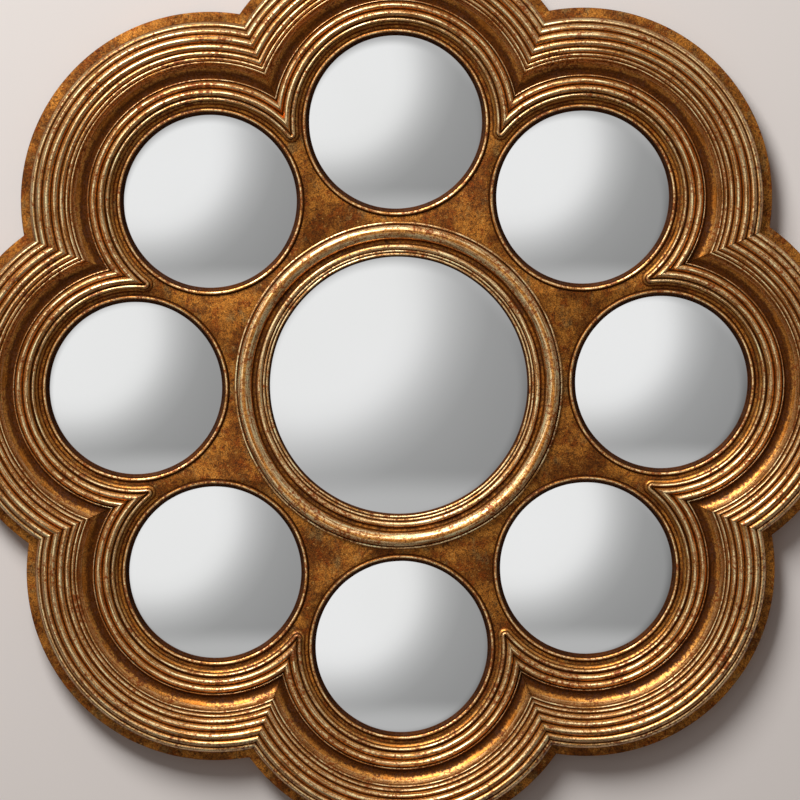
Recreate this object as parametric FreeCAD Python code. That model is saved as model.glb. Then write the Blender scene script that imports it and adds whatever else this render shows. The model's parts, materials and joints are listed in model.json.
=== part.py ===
import FreeCAD, Part
import math
import os

# A convex butler's mirror: eight small convex mirrors stand in a ring round a large one, in a gilt frame
# whose outline is eight lobes. All sizes are in millimetres.
#
# +X is to the right and +Z is up for a person facing the mirror, and the glass faces -Y. The wall is the
# plane y = 0, and the origin lies on it behind the middle of the large mirror. A "depth" is a distance in
# front of the wall, so depth d lies at y = -d. A "height" is measured from the field, the flat front of
# the carcase board. Numbered pieces count clockwise from the top, seen from the front.

# ---- Layout ----
LOBES = 8
FIELD_MARGIN = 2.2  # field seen between a sight ring and its lobe moulding
VALLEY_GAP = 0.56  # from the first reed's inner edge to the mitre, where neighbours would come closest
WEB = 4.2  # least field between the centre moulding and a sight ring

# ---- Depths in front of the wall, from the back forwards ----
BUMPER_HEIGHT = 7.0
BACK_BOARD_THICKNESS = 3.0
CARCASE_THICKNESS = 15.0

# ---- Mirror glass ----
SMALL_SIGHT_RADIUS = 83.1  # inside edge of a sight ring
CENTRE_SIGHT_RADIUS = 121.2  # inside edge of the centre moulding
GLASS_THICKNESS = 3.0
GLASS_EDGE_SLOPE = 21.0  # degrees between the glass and the wall at its sight edge
GLASS_OVERLAP = 2.4  # glass hidden behind its sight edge
GLASS_SEAT_GAP = 0.1  # between the glass and what it seats on, in front and behind
GLASS_HOLE_GAP = 1.0  # between the glass's rim and the hole in the carcase board

# ---- Sight rings ----
SIGHT_RING_WIDTH = 4.5
SIGHT_RING_REBATE = 2.6  # how deep the ring sits in the carcase board
SIGHT_RING_WALL = 2.2  # upright inside wall above the ring's back
SIGHT_RING_HEIGHT = 3.0  # bead above the field
SIGHT_RING_FIT = 0.05  # gap between the ring and its rebate

# ---- Lobe mouldings: widths of the members, from the mirror outwards, and heights above the field ----
FOOT_WIDTH = 3.4  # sloped foot inside the first reed
FOOT_HEIGHT = 4.2
FOOT_BULGE = 0.15  # rise of the foot's curve as a share of its length
INNER_REED_WIDTHS = (4.6, 7.2, 7.2, 2.3)
INNER_REED_CRESTS = (8.4, 11.4, 11.0, 7.0)
COVE_WIDTH = 12.8
COVE_FLOOR = 3.0
COVE_RISE = 6.0
OUTER_REED_WIDTHS = (2.95, 3.9, 5.7, 7.0, 8.4, 6.5, 5.5)
OUTER_ARCH_START = 12.0  # the crests of the outer reeds lie on an arch
OUTER_ARCH_CREST = 24.0
OUTER_ARCH_END = 13.0
OUTER_ARCH_CREST_AT = 0.58  # share of the outer reeds' width
RIM_BAND_WIDTH = 8.75  # plain rim of the carcase board outside the mouldings
REED_RISE = 0.42  # height of a reed's arc as a share of its width

# ---- Centre moulding: widths and heights of the members, from the mirror outwards ----
LIP = (2.9, 3.0, 0.30)  # width, crest height, and height of its arc as a share of its width
BEADLET = (2.8, 4.2, 0.32)
BEAD = (5.5, 6.8, 0.45)
QUIRK_WIDTH = 4.1
QUIRK_START = 3.8
QUIRK_FLOOR = 3.3
QUIRK_END = 5.2
OVOLO_WIDTH = 8.2
OVOLO_FOOT = 5.8
OVOLO_TOP = 11.3
OUTER_BEAD = (5.4, 9.5, 0.36)
OUTER_FILLET = (3.1, 4.0, 0.30)

# ---- Spacer rings behind the glass ----
SPACER_WALL = 3.5

# ---- Back board ----
BACK_BOARD_INSET = 12.0  # inside the carcase board's outline

# ---- Screws: shank radius, shank length, head radius, head height ----
MOULDING_SCREW = (2.0, 22.0, 4.0, 2.6)
BOARD_SCREW = (1.6, 12.0, 3.5, 2.0)
HANGER_SCREW = (1.9, 16.0, 3.8, 2.2)
SCREW_FIT = 0.05  # gap round a shank in its pilot hole
SCREW_TIP = 3.0  # length of a screw's pointed tip
RECESS_ARM = 0.6  # half the length of a head's cross recess, as a share of the head's radius
RECESS_WIDTH = 0.9
RECESS_DEPTH = 0.5  # share of the head's height
SCREW_POINT = 0.25  # radius of a shank's blunt point, as a share of the shank's
HEAD_EDGE = 1 / 3  # upright edge of a round head, as a share of its height
DOME_SHOULDER_ACROSS = 0.7  # a point of a round head's dome, as a share of the head's radius
DOME_SHOULDER_UP = 0.62  # and as a share of the dome's height
MOULDING_SCREW_ANGLES = (-50.0, 0.0, 50.0)  # from a lobe's outward direction, about its mirror
BOARD_SCREW_ANGLES = (-25.0, 25.0)
BOARD_SCREW_EDGE = 14.0  # from the back board's edge to its outer screws

# ---- Hangers ----
RING_WIRE_RADIUS = 1.5
RING_BAR_HALF = 9.0  # half the straight bar that turns in the knuckle
RING_CORNER_RADIUS = 3.0
RING_LEG = 2.0
KNUCKLE_FIT = 0.06
STRAP_THICKNESS = 1.5
STRAP_WIDTH = 14.0
STRAP_LENGTH = 39.0  # from the knuckle's axis to the far end
STRAP_SCREW_PLACES = (8.5, 28.0)  # from the knuckle's axis
KNUCKLE_OUTWARD = 112.0  # from a small mirror's axis out to the knuckle's axis, sideways

# ---- Bumpers ----
BUMPER_RADIUS = 10.0
BUMPER_TAPER = 1.5
BUMPER_EDGE = 36.0  # from a lobe's outline in to a bumper's axis

# ---- Worked out from the sizes above ----
BOARD_BACK = BUMPER_HEIGHT
CARCASE_BACK = BOARD_BACK + BACK_BOARD_THICKNESS
FIELD = CARCASE_BACK + CARCASE_THICKNESS
STEP_ANGLE = 360.0 / LOBES
HALF_STEP = math.radians(STEP_ANGLE / 2)

SIGHT_RING_OUTER = SMALL_SIGHT_RADIUS + SIGHT_RING_WIDTH
CENTRE_MEMBERS = (
    LIP[0],
    BEADLET[0],
    BEAD[0],
    QUIRK_WIDTH,
    OVOLO_WIDTH,
    OUTER_BEAD[0],
    OUTER_FILLET[0],
)
CENTRE_OUTER = CENTRE_SIGHT_RADIUS + sum(CENTRE_MEMBERS)

# The small mirrors stand as close together as their own mouldings and the centre moulding let them.
PITCH_BY_NEIGHBOUR = (SIGHT_RING_OUTER + FIELD_MARGIN + FOOT_WIDTH + VALLEY_GAP) / math.sin(HALF_STEP)
PITCH_BY_CENTRE = CENTRE_OUTER + WEB + SIGHT_RING_OUTER
PITCH_RADIUS = max(PITCH_BY_NEIGHBOUR, PITCH_BY_CENTRE)
HALF_SPACING = PITCH_RADIUS * math.sin(HALF_STEP)

REEDS_INNER = HALF_SPACING - VALLEY_GAP
MOULDING_INNER = REEDS_INNER - FOOT_WIDTH
NOSE_RADIUS = REEDS_INNER + INNER_REED_WIDTHS[0]  # the groove outside the first reed
COVE_INNER = REEDS_INNER + sum(INNER_REED_WIDTHS)
OUTER_REEDS_INNER = COVE_INNER + COVE_WIDTH
MOULDING_OUTER = OUTER_REEDS_INNER + sum(OUTER_REED_WIDTHS)
LOBE_RADIUS = MOULDING_OUTER + RIM_BAND_WIDTH
BOARD_RADIUS = LOBE_RADIUS - BACK_BOARD_INSET
NOSE_REACH = PITCH_RADIUS * math.cos(HALF_STEP) + math.sqrt(NOSE_RADIUS**2 - HALF_SPACING**2)

SMALL_GLASS_RADIUS = SMALL_SIGHT_RADIUS + GLASS_OVERLAP
CENTRE_GLASS_RADIUS = CENTRE_SIGHT_RADIUS + GLASS_OVERLAP
SIGHT_RING_BACK = FIELD - SIGHT_RING_REBATE
MOULDING_SCREW_RADIUS = OUTER_REEDS_INNER + OUTER_ARCH_CREST_AT * sum(OUTER_REED_WIDTHS)
CENTRE_SCREW_RADIUS = CENTRE_OUTER - OUTER_FILLET[0] - OUTER_BEAD[0] - OVOLO_WIDTH / 2
BOARD_SCREW_RADIUS = BOARD_RADIUS - BOARD_SCREW_EDGE
WEB_SCREW_RADIUS = CENTRE_OUTER + (MOULDING_SCREW[2] + BOARD_SCREW[2])

KNUCKLE_INNER = RING_WIRE_RADIUS + KNUCKLE_FIT
KNUCKLE_OUTER = KNUCKLE_INNER + STRAP_THICKNESS
KNUCKLE_DEPTH = BOARD_BACK - KNUCKLE_OUTER
RING_BOW_RADIUS = RING_BAR_HALF + RING_CORNER_RADIUS

X_AXIS = FreeCAD.Vector(1, 0, 0)
Y_AXIS = FreeCAD.Vector(0, 1, 0)
Z_AXIS = FreeCAD.Vector(0, 0, 1)
ORIGIN = FreeCAD.Vector(0, 0, 0)
TOUCHING = 1e-6


# ---- Helpers ----
def section_point(radius, depth):
    """A point of a turned piece's section, in the plane z = 0."""
    return FreeCAD.Vector(radius, -depth, 0)


def line(start, end):
    return Part.LineSegment(start, end).toShape()


def arc(start, middle, end):
    return Part.Arc(start, middle, end).toShape()


def turned(edges, sweep=360.0):
    """The solid that a closed section makes when it is turned about the Y axis, from +X towards +Z."""
    return Part.Face(Part.Wire(edges)).revolve(ORIGIN, -Y_AXIS, sweep)


def cylinder(radius, back, front, x=0.0, z=0.0):
    """A cylinder square to the wall, between two depths."""
    return Part.makeCylinder(radius, front - back, FreeCAD.Vector(x, -back, z), -Y_AXIS)


def lobe_angle(number):
    """Direction of a lobe from the middle, in degrees up from +X. Number 1 is the top one."""
    return 90.0 - STEP_ANGLE * (number - 1)


def polar(radius, angle):
    """X and Z of a point in the plane of the wall."""
    return radius * math.cos(math.radians(angle)), radius * math.sin(math.radians(angle))


def lobe_centre(number):
    return polar(PITCH_RADIUS, lobe_angle(number))


def about_lobe(number, radius, angle):
    """A point round a small mirror, at an angle from that lobe's outward direction."""
    x, z = lobe_centre(number)
    dx, dz = polar(radius, lobe_angle(number) + angle)
    return x + dx, z + dz


def moved(shape, x, z):
    copy = shape.copy()
    copy.translate(FreeCAD.Vector(x, 0, z))
    return copy


def turned_to_lobe(shape, number):
    """A shape built on the +X side, turned about the middle to stand at a lobe."""
    copy = shape.copy()
    copy.rotate(ORIGIN, -Y_AXIS, lobe_angle(number))
    return copy


def running_radii(start, widths):
    """The edges of members laid side by side from start."""
    radii = [start]
    for width in widths:
        radii.append(radii[-1] + width)
    return radii


def arch_height(radius, first, last):
    """Height of the outer reeds' arch: a parabola up to its crest and another down to its end."""
    crest = first + OUTER_ARCH_CREST_AT * (last - first)
    if radius < crest:
        fall = OUTER_ARCH_CREST - OUTER_ARCH_START
        return OUTER_ARCH_CREST - fall * ((crest - radius) / (crest - first)) ** 2
    fall = OUTER_ARCH_CREST - OUTER_ARCH_END
    return OUTER_ARCH_CREST - fall * ((radius - crest) / (last - crest)) ** 2


def member(radius, width, crest, rise):
    """Start, crest and end of one rounded member that stands upright on the section."""
    spring = FIELD + crest - rise * width
    middle = section_point(radius + width / 2, FIELD + crest)
    return section_point(radius, spring), middle, section_point(radius + width, spring)


def reeds(start, widths, crests):
    """Upright rounded reeds side by side."""
    radii = running_radii(start, widths)
    sizes = zip(radii, widths, crests)
    return [member(radius, width, crest, REED_RISE) for radius, width, crest in sizes]


def closed_section(runs):
    """Edges of a section made of runs: two points for a line, three for an arc, and a line at each step."""
    edges = []
    for run, following in zip(runs, runs[1:] + runs[:1]):
        edges.append(arc(*run) if len(run) == 3 else line(*run))
        if run[-1].distanceToPoint(following[0]) > TOUCHING:
            edges.append(line(run[-1], following[0]))
    return edges


def lobed_face(radius):
    """A flat face in the plane y = 0 whose outline is one arc of this radius round each small mirror."""
    foot = PITCH_RADIUS * math.cos(HALF_STEP)
    cusp = foot + math.sqrt(radius**2 - HALF_SPACING**2)
    edges = []
    for number in range(1, LOBES + 1):
        angle = lobe_angle(number)
        ends = [polar(cusp, angle + STEP_ANGLE / 2), polar(cusp, angle - STEP_ANGLE / 2)]
        crown = polar(PITCH_RADIUS + radius, angle)
        start, middle, end = [FreeCAD.Vector(x, 0, z) for x, z in (ends[0], crown, ends[1])]
        edges.append(arc(start, middle, end))
    return Part.Face(Part.Wire(edges))


def lobed_plate(radius, back, front):
    plate = lobed_face(radius).extrude(-Y_AXIS * (front - back))
    plate.translate(-Y_AXIS * back)
    return plate


# ---- Turned pieces ----
def glass(sight_radius, glass_radius, seat_depth):
    """A convex glass whose front passes just behind its sight edge."""
    ball = sight_radius / math.sin(math.radians(GLASS_EDGE_SLOPE))
    centre = seat_depth - GLASS_SEAT_GAP - math.sqrt(ball**2 - sight_radius**2)

    def on_ball(radius, across):
        return section_point(across, centre + math.sqrt(radius**2 - across**2))

    back_ball = ball - GLASS_THICKNESS
    half = glass_radius / 2
    front = [on_ball(ball, across) for across in (0.0, half, glass_radius)]
    back = [on_ball(back_ball, across) for across in (glass_radius, half, 0.0)]
    edges = [arc(*front), line(front[2], back[0]), arc(*back), line(back[2], front[0])]
    return turned(edges), -back[0].y


def sight_ring():
    """A slip with an upright wall at the glass and a rounded bead above the field."""
    inner = SMALL_SIGHT_RADIUS
    outer = SIGHT_RING_OUTER - SIGHT_RING_FIT
    foot = section_point(inner, SIGHT_RING_BACK)
    wall = section_point(inner, SIGHT_RING_BACK + SIGHT_RING_WALL)
    crest = section_point((inner + outer) / 2, FIELD + SIGHT_RING_HEIGHT)
    shoulder = section_point(outer, FIELD)
    heel = section_point(outer, SIGHT_RING_BACK)
    edges = [line(foot, wall), arc(wall, crest, shoulder), line(shoulder, heel), line(heel, foot)]
    return turned(edges)


def centre_moulding():
    """The ring round the large mirror: lip, two beads, quirk, ovolo, outer bead and fillet."""
    radii = running_radii(CENTRE_SIGHT_RADIUS, CENTRE_MEMBERS)

    def at(place, height):
        """A point at the start of a member, counted from the mirror outwards."""
        return section_point(radii[place], FIELD + height)

    quirk_middle = section_point((radii[3] + radii[4]) / 2, FIELD + QUIRK_FLOOR)
    # The ovolo leaves the quirk steeply and is level with the field at its top.
    rise = OVOLO_TOP - OVOLO_FOOT
    ovolo_radius = (OVOLO_WIDTH**2 + rise**2) / (2 * rise)
    half_turn = math.asin(OVOLO_WIDTH / ovolo_radius) / 2
    across = radii[5] - ovolo_radius * math.sin(half_turn)
    up = OVOLO_TOP - ovolo_radius * (1 - math.cos(half_turn))
    runs = [
        member(radii[0], *LIP),
        member(radii[1], *BEADLET),
        member(radii[2], *BEAD),
        (at(3, QUIRK_START), quirk_middle, at(4, QUIRK_END)),
        (at(4, OVOLO_FOOT), section_point(across, FIELD + up), at(5, OVOLO_TOP)),
        member(radii[5], *OUTER_BEAD),
        member(radii[6], *OUTER_FILLET),
        (at(7, 0.0), at(0, 0.0)),
    ]
    ring = turned(closed_section(runs))
    holes = [pilot_hole(MOULDING_SCREW, CARCASE_BACK, *place) for place in centre_screw_places()]
    return ring.cut(Part.makeCompound(holes))


def foot_and_first_reed():
    """The members of a lobe moulding that also turn round its rounded tip."""
    start = section_point(MOULDING_INNER, FIELD)
    end = section_point(REEDS_INNER, FIELD + FOOT_HEIGHT)
    chord = end - start
    front = FreeCAD.Vector(chord.y, -chord.x, 0)
    middle = (start + end) * 0.5 + front * FOOT_BULGE
    return [(start, middle, end)] + reeds(REEDS_INNER, INNER_REED_WIDTHS[:1], INNER_REED_CRESTS[:1])


def cove():
    """It is level with the field at its inner edge and steepens towards the outer reeds."""
    radius = (COVE_WIDTH**2 + COVE_RISE**2) / (2 * COVE_RISE)
    half_turn = math.asin(COVE_WIDTH / radius) / 2
    across = COVE_INNER + radius * math.sin(half_turn)
    up = COVE_FLOOR + radius * (1 - math.cos(half_turn))
    start = section_point(COVE_INNER, FIELD + COVE_FLOOR)
    end = section_point(OUTER_REEDS_INNER, FIELD + COVE_FLOOR + COVE_RISE)
    return start, section_point(across, FIELD + up), end


def moulding_section():
    """The closed section of a lobe moulding: foot, inner reeds, cove and outer reeds."""
    radii = running_radii(OUTER_REEDS_INNER, OUTER_REED_WIDTHS)
    centres = [(start + end) / 2 for start, end in zip(radii, radii[1:])]
    crests = [arch_height(centre, OUTER_REEDS_INNER, MOULDING_OUTER) for centre in centres]
    runs = foot_and_first_reed()
    runs += reeds(NOSE_RADIUS, INNER_REED_WIDTHS[1:], INNER_REED_CRESTS[1:])
    runs.append(cove())
    runs += reeds(OUTER_REEDS_INNER, OUTER_REED_WIDTHS, crests)
    runs.append((section_point(MOULDING_OUTER, FIELD), section_point(MOULDING_INNER, FIELD)))
    return closed_section(runs)


def mitre_wedge():
    """The space of one lobe on the +X side, between its two mitres."""
    far = (PITCH_RADIUS + LOBE_RADIUS) * 2  # well outside the frame
    upper = FreeCAD.Vector(far * math.cos(HALF_STEP), 0, far * math.sin(HALF_STEP))
    lower = FreeCAD.Vector(upper.x, 0, -upper.z)
    top = FIELD + OUTER_ARCH_CREST * 2  # well in front of the reeds
    triangle = Part.Wire([line(ORIGIN, upper), line(upper, lower), line(lower, ORIGIN)])
    return Part.Face(triangle).extrude(-Y_AXIS * top)


def nose():
    """Half of the rounded tip where the first reeds of two lobes meet, on the upper mitre of the +X lobe.

    The foot and the first reed turn about the point where the grooves outside them cross on the mitre.
    """
    x, z = polar(NOSE_REACH, STEP_ANGLE / 2)

    def mirrored(point):
        return FreeCAD.Vector(NOSE_RADIUS - point.x, point.y, 0)

    runs = [tuple(mirrored(point) for point in run) for run in foot_and_first_reed()]
    runs.append((runs[-1][-1], section_point(0, FIELD)))
    inwards = STEP_ANGLE / 2 - 180.0
    to_lobe = math.degrees(math.atan2(-z, PITCH_RADIUS - x))
    half = turned(closed_section(runs), to_lobe - inwards)
    half.rotate(ORIGIN, -Y_AXIS, inwards)
    half.translate(FreeCAD.Vector(x, 0, z))
    return half, 180.0 + to_lobe


def lobe_moulding():
    """One lobe moulding on the +X side, mitred to its neighbours, with pilot holes in its back."""
    upper_nose, end_angle = nose()
    lower_nose = upper_nose.mirror(ORIGIN, Z_AXIS)
    ring = turned(moulding_section(), 2 * end_angle)
    ring.rotate(ORIGIN, -Y_AXIS, -end_angle)
    ring.translate(FreeCAD.Vector(PITCH_RADIUS, 0, 0))
    moulding = ring.common(mitre_wedge()).fuse([upper_nose, lower_nose]).removeSplitter()
    holes = []
    for angle in MOULDING_SCREW_ANGLES:
        dx, dz = polar(MOULDING_SCREW_RADIUS, angle)
        holes.append(pilot_hole(MOULDING_SCREW, CARCASE_BACK, PITCH_RADIUS + dx, dz))
    return moulding.cut(Part.makeCompound(holes))


def spacer_ring(glass_radius, glass_back):
    """A hoop that fills the depth between the glass's rim and the back board."""
    front = glass_back - GLASS_SEAT_GAP
    hoop = cylinder(glass_radius, CARCASE_BACK, front)
    return hoop.cut(cylinder(glass_radius - SPACER_WALL, CARCASE_BACK, front))


# ---- Screws ----
def pilot_hole(screw, head_depth, x, z):
    """The hole that a screw's shank fills, from under its head to past its tip."""
    shank, length = screw[0], screw[1]
    return cylinder(shank + SCREW_FIT, head_depth, head_depth + length + SCREW_FIT, x, z)


def cross_recess(screw, outer_depth):
    """The cross that is cut into a head, open towards the wall."""
    head, height = screw[2], screw[3]
    long_side = 2 * RECESS_ARM * head
    deep = RECESS_DEPTH * height
    bars = []
    for size_x, size_z in ((long_side, RECESS_WIDTH), (RECESS_WIDTH, long_side)):
        corner = FreeCAD.Vector(-size_x / 2, -outer_depth - deep, -size_z / 2)
        bars.append(Part.makeBox(size_x, deep * 2, size_z, corner))
    return bars[0].fuse(bars[1])


def screw_shank(screw, head_depth):
    shank, length = screw[0], screw[1]
    body = cylinder(shank, head_depth, head_depth + length - SCREW_TIP)
    tip_base = FreeCAD.Vector(0, -(head_depth + length - SCREW_TIP), 0)
    tip = Part.makeCone(shank, shank * SCREW_POINT, SCREW_TIP, tip_base, -Y_AXIS)
    return body.fuse(tip)


def round_head_screw(screw, seat_depth):
    """A screw whose domed head stands on a surface at seat_depth."""
    head, height = screw[2], screw[3]
    edge = height * HEAD_EDGE
    rim = section_point(head, seat_depth - edge)
    crown = section_point(0, seat_depth - height)
    shoulder_depth = seat_depth - edge - (height - edge) * DOME_SHOULDER_UP
    shoulder = section_point(head * DOME_SHOULDER_ACROSS, shoulder_depth)
    edges = [
        line(section_point(0, seat_depth), section_point(head, seat_depth)),
        line(section_point(head, seat_depth), rim),
        arc(rim, shoulder, crown),
        line(crown, section_point(0, seat_depth)),
    ]
    body = turned(edges).fuse(screw_shank(screw, seat_depth))
    return body.removeSplitter().cut(cross_recess(screw, seat_depth - height))


def countersunk_cone(screw, face_depth, gap):
    """The cone of a flush head, or of its countersink when a gap is given."""
    shank, head, height = screw[0], screw[2], screw[3]
    base = FreeCAD.Vector(0, -face_depth, 0)
    return Part.makeCone(head + gap, shank + gap, height, base, -Y_AXIS)


def countersunk_screw(screw, face_depth):
    body = countersunk_cone(screw, face_depth, 0.0).fuse(screw_shank(screw, face_depth))
    return body.removeSplitter().cut(cross_recess(screw, face_depth))


def lobe_screw_places(radius, angles):
    places = []
    for number in range(1, LOBES + 1):
        for angle in angles:
            places.append(about_lobe(number, radius, angle))
    return places


def centre_screw_places():
    """Between the lobes' directions, under the ovolo of the centre moulding."""
    return [polar(CENTRE_SCREW_RADIUS, lobe_angle(n) + STEP_ANGLE / 2) for n in range(1, LOBES + 1)]


def web_screw_places():
    """Between the lobes' directions, on the board's web outside the centre moulding."""
    return [polar(WEB_SCREW_RADIUS, lobe_angle(n) + STEP_ANGLE / 2) for n in range(1, LOBES + 1)]


def moulding_screw_places():
    return lobe_screw_places(MOULDING_SCREW_RADIUS, MOULDING_SCREW_ANGLES) + centre_screw_places()


def board_screw_places():
    return lobe_screw_places(BOARD_SCREW_RADIUS, BOARD_SCREW_ANGLES) + web_screw_places()


# ---- Hangers, built on the +X side with the ring lying inwards ----
def knuckle_centre():
    """X and Z of the knuckle's axis, level with the upper right small mirror."""
    x, z = lobe_centre(2)
    return x + KNUCKLE_OUTWARD, z


def strap_screw_places():
    x, z = knuckle_centre()
    return [(x + place, z) for place in STRAP_SCREW_PLACES]


def hanger_strap():
    """A flat strap on the back board, rolled into a knuckle at its inner end."""
    x, z = knuckle_centre()
    half = STRAP_WIDTH / 2
    face = BOARD_BACK - STRAP_THICKNESS
    straight = STRAP_LENGTH - half
    corner = FreeCAD.Vector(x, -BOARD_BACK, z - half)
    plate = Part.makeBox(straight, STRAP_THICKNESS, STRAP_WIDTH, corner)
    end = cylinder(half, face, BOARD_BACK, x + straight, z)
    barrel_base = FreeCAD.Vector(x, -KNUCKLE_DEPTH, z - half)
    barrel = Part.makeCylinder(KNUCKLE_OUTER, STRAP_WIDTH, barrel_base, Z_AXIS)
    bore = Part.makeCylinder(KNUCKLE_INNER, STRAP_WIDTH, barrel_base, Z_AXIS)
    strap = plate.fuse([end, barrel]).cut(bore)
    shank = HANGER_SCREW[0]
    holes = [cylinder(shank + SCREW_FIT, face, BOARD_BACK, *place) for place in strap_screw_places()]
    return strap.cut(Part.makeCompound(holes)).removeSplitter()


def wire_straight(start, end):
    return Part.makeCylinder(RING_WIRE_RADIUS, (end - start).Length, start, end - start)


def wire_bend(centre, start, angle):
    """A bend of the ring's wire from start round centre, about the axis square to the wall."""
    tangent = Y_AXIS.cross(start - centre)
    circle = Part.Circle(start, tangent, RING_WIRE_RADIUS).toShape()
    return Part.Face(Part.Wire([circle])).revolve(centre, Y_AXIS, angle)


def hanger_ring():
    """A closed D of round wire: a straight bar, two tight corners, two legs and a half-round bow."""
    x, z = knuckle_centre()
    bar = RING_BAR_HALF
    corner = RING_CORNER_RADIUS
    bow = RING_BOW_RADIUS

    def at(inwards, up):
        return FreeCAD.Vector(x - inwards, -KNUCKLE_DEPTH, z + up)

    pieces = [wire_straight(at(0, -bar), at(0, bar))]
    pieces.append(wire_bend(at(corner, bar), at(0, bar), -90))
    pieces.append(wire_bend(at(corner, -bar), at(0, -bar), 90))
    for side in (bow, -bow):
        pieces.append(wire_straight(at(corner, side), at(corner + RING_LEG, side)))
    pieces.append(wire_bend(at(corner + RING_LEG, 0), at(corner + RING_LEG, bow), -180))
    return pieces[0].fuse(pieces[1:]).removeSplitter()


def left_copy(shape):
    return shape.mirror(ORIGIN, X_AXIS)


# ---- Boards and bumpers ----
def small_places():
    return [lobe_centre(number) for number in range(1, LOBES + 1)]


def both_sides(places):
    return places + [(-x, z) for x, z in places]


def carcase_board():
    """The eight-lobed board that carries the mouldings, with nine holes and the screws' holes."""
    board = lobed_plate(LOBE_RADIUS, CARCASE_BACK, FIELD)
    cuts = [cylinder(CENTRE_GLASS_RADIUS + GLASS_HOLE_GAP, CARCASE_BACK, FIELD)]
    for x, z in small_places():
        cuts.append(cylinder(SMALL_GLASS_RADIUS + GLASS_HOLE_GAP, CARCASE_BACK, FIELD, x, z))
        cuts.append(cylinder(SIGHT_RING_OUTER, SIGHT_RING_BACK, FIELD, x, z))
    sink = countersunk_cone(MOULDING_SCREW, CARCASE_BACK, SCREW_FIT)
    for x, z in moulding_screw_places():
        cuts.append(pilot_hole(MOULDING_SCREW, CARCASE_BACK, x, z))
        cuts.append(moved(sink, x, z))
    cuts += [pilot_hole(BOARD_SCREW, BOARD_BACK, x, z) for x, z in board_screw_places()]
    strap_face = BOARD_BACK - STRAP_THICKNESS
    cuts += [pilot_hole(HANGER_SCREW, strap_face, x, z) for x, z in both_sides(strap_screw_places())]
    return board.cut(cuts)


def back_board():
    board = lobed_plate(BOARD_RADIUS, BOARD_BACK, CARCASE_BACK)
    cuts = [pilot_hole(BOARD_SCREW, BOARD_BACK, x, z) for x, z in board_screw_places()]
    strap_face = BOARD_BACK - STRAP_THICKNESS
    cuts += [pilot_hole(HANGER_SCREW, strap_face, x, z) for x, z in both_sides(strap_screw_places())]
    return board.cut(cuts)


def bumper():
    """A tapered rubber foot from the back board to the wall."""
    base = FreeCAD.Vector(0, -BUMPER_HEIGHT, 0)
    return Part.makeCone(BUMPER_RADIUS, BUMPER_RADIUS - BUMPER_TAPER, BUMPER_HEIGHT, base, Y_AXIS)


def bumper_places():
    """Above the upper corner mirrors and below the lower ones."""
    x, z = lobe_centre(2)
    out = LOBE_RADIUS - BUMPER_EDGE
    upper = both_sides([(x, z + out)])
    return upper + [(x, -z) for x, z in upper]


def group(piece, places):
    return Part.makeCompound([moved(piece, x, z) for x, z in places])


def build():
    """Every node of the object, by name."""
    nodes = {"carcase_board": carcase_board(), "back_board": back_board()}
    nodes["centre_moulding"] = centre_moulding()
    centre_glass, centre_back = glass(CENTRE_SIGHT_RADIUS, CENTRE_GLASS_RADIUS, FIELD)
    nodes["centre_glass"] = centre_glass
    nodes["centre_spacer_ring"] = spacer_ring(CENTRE_GLASS_RADIUS, centre_back)
    small_glass, small_back = glass(SMALL_SIGHT_RADIUS, SMALL_GLASS_RADIUS, SIGHT_RING_BACK)
    small_pieces = {
        "small_glass": small_glass,
        "small_spacer_ring": spacer_ring(SMALL_GLASS_RADIUS, small_back),
        "sight_ring": sight_ring(),
    }
    moulding = lobe_moulding()
    for number in range(1, LOBES + 1):
        nodes[f"lobe_moulding_{number}"] = turned_to_lobe(moulding, number)
        for name, piece in small_pieces.items():
            nodes[f"{name}_{number}"] = moved(piece, *lobe_centre(number))
    moulding_screw = countersunk_screw(MOULDING_SCREW, CARCASE_BACK)
    nodes["moulding_screws"] = group(moulding_screw, moulding_screw_places())
    board_screw = round_head_screw(BOARD_SCREW, BOARD_BACK)
    nodes["back_board_screws"] = group(board_screw, board_screw_places())
    strap_face = BOARD_BACK - STRAP_THICKNESS
    strap_screw = round_head_screw(HANGER_SCREW, strap_face)
    nodes["hanger_screws"] = group(strap_screw, both_sides(strap_screw_places()))
    nodes["hanger_strap_right"] = hanger_strap()
    nodes["hanger_strap_left"] = left_copy(nodes["hanger_strap_right"])
    nodes["hanger_ring_right"] = hanger_ring()
    nodes["hanger_ring_left"] = left_copy(nodes["hanger_ring_right"])
    nodes["wall_bumpers"] = group(bumper(), bumper_places())
    return nodes


os.makedirs("parts", exist_ok=True)
for node_name, node_shape in build().items():
    node_shape.exportStep(f"parts/{node_name}.step")
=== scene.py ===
import json
import math

import bpy
from mathutils import Matrix, Vector

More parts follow.
